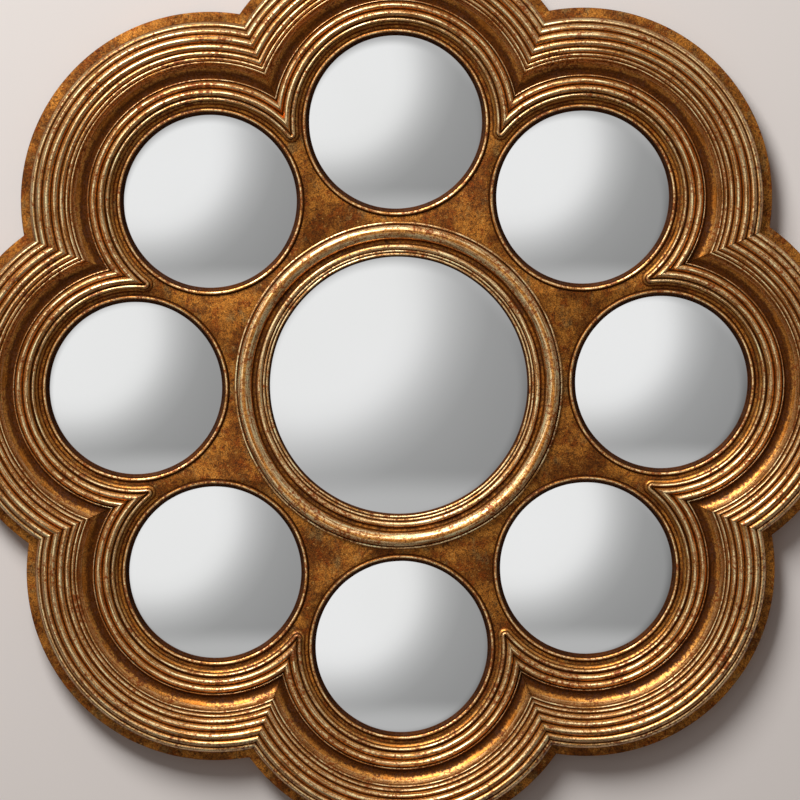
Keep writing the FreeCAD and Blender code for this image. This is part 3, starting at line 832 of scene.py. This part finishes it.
def make_gilding_group():
    """Water gilding over red bole: paler on crests as a painted highlight, worn to bole in places,
    with umber that is patina in the grooves and painted shade on the sight rings and in the cove.
    """
    group = bpy.data.node_groups.new("worn_gilding_with_painted_light", "ShaderNodeTree")
    for name in ("Object", "Along"):
        group_socket(group, name, "INPUT", "NodeSocketVector")
    for name in ("Hollow", "Grime and shade", "Bole"):
        group_socket(group, name, "INPUT", "NodeSocketFloat")
    group_socket(group, "Colour", "OUTPUT", "NodeSocketColor")
    for name in ("Metal", "Roughness", "Height", "Wax"):
        group_socket(group, name, "OUTPUT", "NodeSocketFloat")
    start = group.nodes.new("NodeGroupInput")
    end = group.nodes.new("NodeGroupOutput")
    place, along, hollow = start.outputs["Object"], start.outputs["Along"], start.outputs["Hollow"]
    mottle = noise(group, place, MOTTLE_SCALE, 5.0, 0.65)
    fine = noise(group, place, FINE_WEAR_SCALE, 4.0, 0.65)
    grain = noise(group, place, GRAIN_SCALE, 2.0, 0.6)
    scuff = noise(group, stretched(group, along, (420.0, 60.0, 1.0)), 1.0, 3.0, 0.6)
    brush = noise(group, stretched(group, along, (45.0, 800.0, 1.0)), 1.0, 3.0, 0.6)

    leaf = mix_colours(group, ramp(group, mottle, 0.36, 0.64), DEEP_LEAF, BRIGHT_LEAF)
    # painted highlight: paler leaf on the crests, streaked by the brush noise
    crest = ramp(group, hollow, 0.0, 0.35, 1.0, 0.0)
    painted_highlight = maths(group, "MULTIPLY", crest, ramp(group, brush, 0.34, 0.62), clamp=True)
    leaf = mix_colours(group, painted_highlight, leaf, PAINTED_HIGHLIGHT_LEAF)

    bole_noise = weighted(group, fine, 0.55, mottle, 0.45)
    bole_edge = maths(group, "ADD", bole_noise, maths(group, "MULTIPLY", start.outputs["Bole"], 0.16))
    bole_mask = ramp(group, bole_edge, 0.56, 0.68)
    worn = mix_colours(group, bole_mask, leaf, BOLE)

    # umber patina in the hollows, which through the hollow values also paints shade on the sight rings
    # and in the cove
    umber_and_shade_reach = shifted(group, hollow, mottle, 0.7)
    umber_and_shade_reach = shifted(group, umber_and_shade_reach, fine, 0.5)
    umber_and_shade_reach = shifted(group, umber_and_shade_reach, start.outputs["Grime and shade"], 1.0)
    umber_and_shade_mask = ramp(group, umber_and_shade_reach, 0.40, 0.90)
    dirt_and_shade = mix_colours(group, umber_and_shade_mask, worn, UMBER_PATINA_AND_SHADE)
    speckle = weighted(group, grain, 0.6, brush, 0.4)
    shade = ramp(group, speckle, 0.36, 0.60, 0.42, 1.25)
    dirt_and_shade = mix_colours(group, 1.0, dirt_and_shade, shade, "MULTIPLY")

    cover = maths(
        group,
        "MULTIPLY",
        ramp(group, umber_and_shade_mask, 0.0, 1.0, 1.0, 0.85),
        ramp(group, bole_mask, 0.0, 1.0, 1.0, 0.45),
    )
    rough = maths(group, "ADD", LEAF_ROUGHNESS, maths(group, "MULTIPLY", scuff, 0.22))
    rough = maths(group, "ADD", rough, maths(group, "MULTIPLY", umber_and_shade_mask, 0.3), clamp=True)
    height = weighted(group, fine, 0.6, scuff, 0.5)
    height = maths(group, "ADD", height, maths(group, "MULTIPLY", grain, 0.25))
    group.links.new(dirt_and_shade, end.inputs["Colour"])
    group.links.new(cover, end.inputs["Metal"])
    group.links.new(rough, end.inputs["Roughness"])
    group.links.new(height, end.inputs["Height"])
    group.links.new(ramp(group, umber_and_shade_mask, 0.0, 1.0, WAX, 0.0), end.inputs["Wax"])
    return group


def object_coordinates(tree):
    return tree.nodes.new("ShaderNodeTexCoord").outputs["Object"]


def bump(tree, shader, height, strength, distance):
    made = node(tree, "ShaderNodeBump", Strength=strength, Distance=distance)
    tree.links.new(height, made.inputs["Height"])
    tree.links.new(made.outputs["Normal"], shader.inputs["Normal"])


def gilded_material(name, group, grime_and_shade, bole, depth):
    material, tree, shader = new_material(name)
    gilding = tree.nodes.new("ShaderNodeGroup")
    gilding.node_tree = group
    along = node(tree, "ShaderNodeUVMap", uv_map="along_across")
    hollow = node(tree, "ShaderNodeAttribute", attribute_name="hollow")
    tree.links.new(object_coordinates(tree), gilding.inputs["Object"])
    tree.links.new(along.outputs["UV"], gilding.inputs["Along"])
    tree.links.new(hollow.outputs["Fac"], gilding.inputs["Hollow"])
    gilding.inputs["Grime and shade"].default_value = grime_and_shade
    gilding.inputs["Bole"].default_value = bole
    tree.links.new(gilding.outputs["Colour"], shader.inputs["Base Color"])
    tree.links.new(gilding.outputs["Metal"], shader.inputs["Metallic"])
    tree.links.new(gilding.outputs["Roughness"], shader.inputs["Roughness"])
    tree.links.new(gilding.outputs["Wax"], shader.inputs["Coat Weight"])
    shader.inputs["Coat Roughness"].default_value = WAX_ROUGHNESS
    shader.inputs["Specular IOR Level"].default_value = DULL_SPECULAR
    bump(tree, shader, gilding.outputs["Height"], 0.5, depth)
    return material


def field_material():
    """The flat field and rim: bronze-brown with rusty and grey-green clouds under a fine speckle."""
    material, tree, shader = new_material("patinated_field")
    place = object_coordinates(tree)
    clouds = noise(tree, place, 30.0, 6.0, 0.68)
    rust = noise(tree, place, 85.0, 6.0, 0.7)
    green = noise(tree, stretched(tree, place, (1.3, 1.0, 0.8)), 42.0, 5.0, 0.68)
    fine = noise(tree, place, 420.0, 5.0, 0.7)
    grain = noise(tree, place, GRAIN_SCALE, 2.0, 0.6)
    colour = mix_colours(tree, ramp(tree, clouds, 0.40, 0.60), FIELD_DARK, FIELD_LIGHT)
    colour = mix_colours(tree, ramp(tree, rust, 0.50, 0.62, 0.0, 0.8), colour, FIELD_RUST)
    colour = mix_colours(tree, ramp(tree, green, 0.54, 0.66, 0.0, 0.7), colour, FIELD_GREEN)
    colour = mix_colours(tree, ramp(tree, fine, 0.50, 0.64, 0.0, 0.75), colour, FIELD_PITS)
    colour = mix_colours(tree, ramp(tree, fine, 0.30, 0.42, 0.65, 0.0), colour, FIELD_GLINTS)
    colour = mix_colours(tree, 1.0, colour, ramp(tree, grain, 0.36, 0.62, 0.5, 1.35), "MULTIPLY")
    tree.links.new(colour, shader.inputs["Base Color"])
    shader.inputs["Metallic"].default_value = FIELD_METALLIC
    shader.inputs["Specular IOR Level"].default_value = DULL_SPECULAR
    tree.links.new(ramp(tree, fine, 0.3, 0.7, 0.38, 0.62), shader.inputs["Roughness"])
    bump(tree, shader, maths(tree, "ADD", fine, maths(tree, "MULTIPLY", rust, 0.5)), 0.4, FIELD_BUMP)
    return material


def mirror_material():
    """Silvered glass: a bright mirror with the faintest unevenness in its silver."""
    material, tree, shader = new_material("mirror_glass")
    silver = noise(tree, object_coordinates(tree), 6.0, 2.0, 0.5)
    colour = mix_colours(tree, ramp(tree, silver, 0.3, 0.7), SILVER_WARM, SILVER_COOL)
    tree.links.new(colour, shader.inputs["Base Color"])
    shader.inputs["Metallic"].default_value = 1.0
    shader.inputs["Roughness"].default_value = SILVER_ROUGHNESS
    return material


# Light and dark colour, noise scale, metallic, roughness, and bump depth in millimetres.
PLAIN_FINISHES = {
    "hardboard": ((0.075, 0.058, 0.045, 1), (0.035, 0.026, 0.02, 1), 60.0, 0.0, 0.75, 0.2),
    "greyboard": ((0.36, 0.33, 0.29, 1), (0.26, 0.24, 0.21, 1), 90.0, 0.0, 0.85, 0.1),
    "zinc_steel": ((0.62, 0.61, 0.58, 1), (0.42, 0.41, 0.39, 1), 200.0, 1.0, 0.35, 0.02),
    "brassed_steel": ((0.72, 0.55, 0.27, 1), (0.55, 0.38, 0.16, 1), 160.0, 1.0, 0.32, 0.02),
    "bumper_rubber": ((0.045, 0.044, 0.042, 1), (0.025, 0.025, 0.024, 1), 150.0, 0.0, 0.7, 0.05),
}
HIDDEN_PIECES = {
    "hardboard": ["back_board"],
    "greyboard": [
        "centre_spacer_ring",
        *(f"small_spacer_ring_{number}" for number in range(1, LOBES + 1)),
    ],
    "zinc_steel": ["moulding_screws", "back_board_screws", "hanger_screws"],
    "brassed_steel": ["hanger_strap_left", "hanger_ring_left", "hanger_strap_right", "hanger_ring_right"],
    "bumper_rubber": ["wall_bumpers"],
}


def plain_material(name):
    """A quietly uneven finish for the pieces behind the mirror."""
    light, dark, scale, metallic, roughness, bump_depth = PLAIN_FINISHES[name]
    material, tree, shader = new_material(name)
    place = object_coordinates(tree)
    broad = noise(tree, place, scale, 5.0, 0.6)
    fine = noise(tree, place, scale * 12, 4.0, 0.6)
    both = weighted(tree, broad, 0.6, fine, 0.4)
    colour = mix_colours(tree, ramp(tree, both, 0.35, 0.65), dark, light)
    tree.links.new(colour, shader.inputs["Base Color"])
    shader.inputs["Metallic"].default_value = metallic
    rough = ramp(tree, fine, 0.3, 0.7, roughness * 0.8, roughness * 1.2)
    tree.links.new(rough, shader.inputs["Roughness"])
    bump(tree, shader, fine, 0.4, bump_depth * MM)
    return material


def set_material(name, material):
    for slot in frame["nodes"][name].material_slots:
        slot.material = material


def dress_hidden_pieces():
    """Finishes the nodes behind the mirror, which keep their own shapes."""
    for finish, names in HIDDEN_PIECES.items():
        material = plain_material(finish)
        for name in names:
            set_material(name, material)


# ---- Room: wall, floor, light and camera ----
PIXEL = 0.93156 * MM  # size of one pixel of the 800 x 800 picture at the field
PICTURE_SIZE = 800
PICTURE_CENTRE = (398.6, 385.5)  # where the middle of the mirror lies in the picture
ROLL = math.radians(0.65)
CAMERA_DISTANCE = 5.0
CAMERA_RAISE = math.radians(3.5)  # above the line square to the mirror's middle
SENSOR = 36.0  # millimetres
STAGE_SIZE = 8.0
STAGE_FLOOR = -1.3
PAINT_CLOUDS = 0.97  # brightness of the paint's faint clouds, as a share of its own
WALL_PAINT = (0.80, 0.765, 0.745, 1)
FLOOR_PAINT = (0.72, 0.70, 0.68, 1)

KEY_POWER = 96.0
KEY_SIZE = 1.5
KEY_DISTANCE = 3.2
KEY_COLOUR = (1.0, 0.985, 0.965)
KEY_DIRECTION = Vector((-0.30, -0.70, 0.65)).normalized()
BRIGHT_SIDE = (-0.53, 0.0, 0.40)  # the brightest direction of the room, above and to the left
# Brightness of the room by distance from the bright side, as shares of ROOM_REACH.
ROOM_STOPS = (
    (0.36, 0.85),
    (0.44, 0.80),
    (0.49, 0.72),
    (0.54, 0.61),
    (0.60, 0.49),
    (0.66, 0.41),
    (0.74, 0.33),
    (0.95, 0.28),
)
ROOM_REACH = 1.4
ROOM_AHEAD = Vector((-0.026, -0.996, -0.087)).normalized()  # middle of what the glasses show
ROOM_LOW_PATCH = 0.52  # brightness of the paler patch low in the glasses
ROOM_ABOVE = 0.46
ROOM_BELOW = 0.14
ROOM_BEHIND = 0.50
FILL = 0.42  # strength of the room as light on matt surfaces
FILL_TINT = (1.0, 0.86, 0.79, 1)  # warm, as the light thrown back by the gilding is


def stage_material(name, colour):
    """A matt surface that is seen from its front only, so that the mirror's back can be looked at."""
    material = bpy.data.materials.new(name)
    material.use_nodes = True
    tree = material.node_tree
    tree.nodes.clear()
    output = tree.nodes.new("ShaderNodeOutputMaterial")
    paint = tree.nodes.new("ShaderNodeBsdfDiffuse")
    clear = tree.nodes.new("ShaderNodeBsdfTransparent")
    geometry = tree.nodes.new("ShaderNodeNewGeometry")
    mix = tree.nodes.new("ShaderNodeMixShader")
    clouds = noise(tree, object_coordinates(tree), 2.5, 3.0, 0.5)
    darker = tuple(PAINT_CLOUDS * value for value in colour[:3]) + (1,)
    tree.links.new(mix_colours(tree, clouds, colour, darker), paint.inputs["Color"])
    tree.links.new(geometry.outputs["Backfacing"], mix.inputs[0])
    tree.links.new(paint.outputs["BSDF"], mix.inputs[1])
    tree.links.new(clear.outputs["BSDF"], mix.inputs[2])
    tree.links.new(mix.outputs["Shader"], output.inputs["Surface"])
    return material


def make_room():
    bpy.ops.object.select_all(action="DESELECT")
    wall_middle = (0, 0, STAGE_FLOOR + STAGE_SIZE / 2)
    bpy.ops.mesh.primitive_plane_add(size=STAGE_SIZE, location=wall_middle, rotation=(math.pi / 2, 0, 0))
    wall = bpy.context.object
    wall.name = "wall"
    bpy.ops.object.select_all(action="DESELECT")
    bpy.ops.mesh.primitive_plane_add(size=STAGE_SIZE, location=(0, -STAGE_SIZE / 2, STAGE_FLOOR))
    floor = bpy.context.object
    floor.name = "floor"
    wall.data.materials.append(stage_material("wall_paint", WALL_PAINT))
    floor.data.materials.append(stage_material("floor_paint", FLOOR_PAINT))
    for surface in (wall, floor):
        surface.visible_diffuse = False
        surface.visible_glossy = False
        surface.visible_shadow = False


def make_key_lamp():
    lamp = bpy.data.lights.new("key", "AREA")
    lamp.shape = "DISK"
    lamp.size = KEY_SIZE
    lamp.energy = KEY_POWER
    lamp.color = KEY_COLOUR
    key = bpy.data.objects.new("key", lamp)
    bpy.context.scene.collection.objects.link(key)
    key.location = KEY_DIRECTION * KEY_DISTANCE
    key.rotation_mode = "QUATERNION"
    key.rotation_quaternion = KEY_DIRECTION.to_track_quat("Z", "Y")
    return key


def keep_lamp_out_of_the_glasses(key):
    """The lamp lights everything but the glasses, which show the room without a bright spot."""
    unlit = bpy.data.collections.new("glasses")
    unlit.objects.link(bpy.data.objects["convex_centre_glass"])
    for number in range(1, LOBES + 1):
        unlit.objects.link(bpy.data.objects[f"convex_small_glass_{number}"])
    for entry in unlit.collection_objects:
        entry.light_linking.link_state = "EXCLUDE"
    key.light_linking.receiver_collection = unlit


def grey(value):
    return (value, value, value, 1)


def along_direction(tree, direction, vector):
    made = node(tree, "ShaderNodeVectorMath", operation="DOT_PRODUCT")
    tree.links.new(direction, made.inputs[0])
    made.inputs[1].default_value = vector
    return made.outputs["Value"]


def room_in_the_glasses(tree, sky, down):
    """Brightness of what the glasses show: bright at the upper left, and dim at the lower right."""
    spread = node(tree, "ShaderNodeVectorMath", operation="MULTIPLY")
    spread.inputs[1].default_value = (1.0, 0.0, 1.0)
    tree.links.new(sky, spread.inputs[0])
    away = node(tree, "ShaderNodeVectorMath", operation="DISTANCE")
    away.inputs[1].default_value = BRIGHT_SIDE
    tree.links.new(spread.outputs["Vector"], away.inputs[0])
    front = node(tree, "ShaderNodeValToRGB")
    front.color_ramp.interpolation = "B_SPLINE"
    elements = front.color_ramp.elements
    elements[0].position = ROOM_STOPS[0][0]
    elements[1].position = ROOM_STOPS[-1][0]
    for position, _ in ROOM_STOPS[1:-1]:
        elements.new(position)
    for element, (position, value) in zip(elements, ROOM_STOPS):
        element.color = grey(value)
    share = ramp(tree, away.outputs["Value"], 0.0, ROOM_REACH, kind="LINEAR")
    tree.links.new(share, front.inputs["Fac"])
    low_patch = ramp(tree, down, 0.50, 0.67, 0.0, 0.75)
    return mix_colours(tree, low_patch, front.outputs["Color"], grey(ROOM_LOW_PATCH))


def make_room_light():
    """The room all round, seen in the glasses and lighting the object."""
    world = bpy.data.worlds.new("room")
    bpy.context.scene.world = world
    world.use_nodes = True
    tree = world.node_tree
    tree.nodes.clear()
    output = tree.nodes.new("ShaderNodeOutputWorld")
    background = tree.nodes.new("ShaderNodeBackground")
    sky = tree.nodes.new("ShaderNodeTexCoord").outputs["Generated"]
    down = along_direction(tree, sky, (0.0, 0.0, -1.0))
    seen = room_in_the_glasses(tree, sky, down)
    around = mix_colours(tree, ramp(tree, down, -0.7, 0.3), grey(ROOM_ABOVE), grey(ROOM_BELOW))
    ahead = along_direction(tree, sky, ROOM_AHEAD)
    light = mix_colours(tree, ramp(tree, ahead, 0.70, 0.765), around, seen)
    light = mix_colours(tree, ramp(tree, ahead, -0.45, -0.25, 1.0, 0.0), light, grey(ROOM_BEHIND))
    path = tree.nodes.new("ShaderNodeLightPath").outputs
    seen_ray = maths(tree, "MAXIMUM", path["Is Camera Ray"], path["Is Glossy Ray"])
    seen_ray = maths(tree, "MAXIMUM", seen_ray, path["Is Transmission Ray"])
    tint = mix_colours(tree, seen_ray, FILL_TINT, grey(1.0))
    tree.links.new(mix_colours(tree, 1.0, light, tint, "MULTIPLY"), background.inputs["Color"])
    strength = maths(tree, "ADD", maths(tree, "MULTIPLY", seen_ray, 1.0 - FILL), FILL)
    tree.links.new(strength, background.inputs["Strength"])
    tree.links.new(background.outputs["Background"], output.inputs["Surface"])


def make_camera():
    """Far off and nearly square on, with the mirror's middle at its place in the picture."""
    data = bpy.data.cameras.new("camera")
    camera = bpy.data.objects.new("camera", data)
    bpy.context.scene.collection.objects.link(camera)
    data.sensor_width = SENSOR
    data.lens = SENSOR * CAMERA_DISTANCE / (PICTURE_SIZE * PIXEL)
    data.clip_end = 50.0
    off_x = (PICTURE_SIZE / 2 - PICTURE_CENTRE[0]) * PIXEL
    off_z = (PICTURE_CENTRE[1] - PICTURE_SIZE / 2) * PIXEL
    aim = Matrix.Rotation(-CAMERA_RAISE, 3, "X") @ Matrix.Rotation(ROLL, 3, "Y")
    camera.location = Vector((0, FIELD_Y, 0)) + aim @ Vector((off_x, -CAMERA_DISTANCE, off_z))
    camera.rotation_mode = "XYZ"
    camera.rotation_euler = (aim @ Matrix.Rotation(math.pi / 2, 3, "X")).to_euler()
    bpy.context.scene.camera = camera


make_camera()
make_room()
key_lamp = make_key_lamp()
make_room_light()
gilding_group = make_gilding_group()
gilded_lobes = gilded_material("gilded_moulding", gilding_group, grime_and_shade=0.5, bole=0.5, depth=0.25 * MM)
gilded_slips = gilded_material("gilded_slip", gilding_group, grime_and_shade=0.5, bole=0.6, depth=0.15 * MM)
make_lobe_mouldings(gilded_lobes)
make_centre_moulding(gilded_lobes)
make_sight_rings(gilded_slips)
make_glasses(mirror_material())
keep_lamp_out_of_the_glasses(key_lamp)
make_carcase(field_material())
dress_hidden_pieces()

bpy.context.scene.view_settings.view_transform = "Standard"
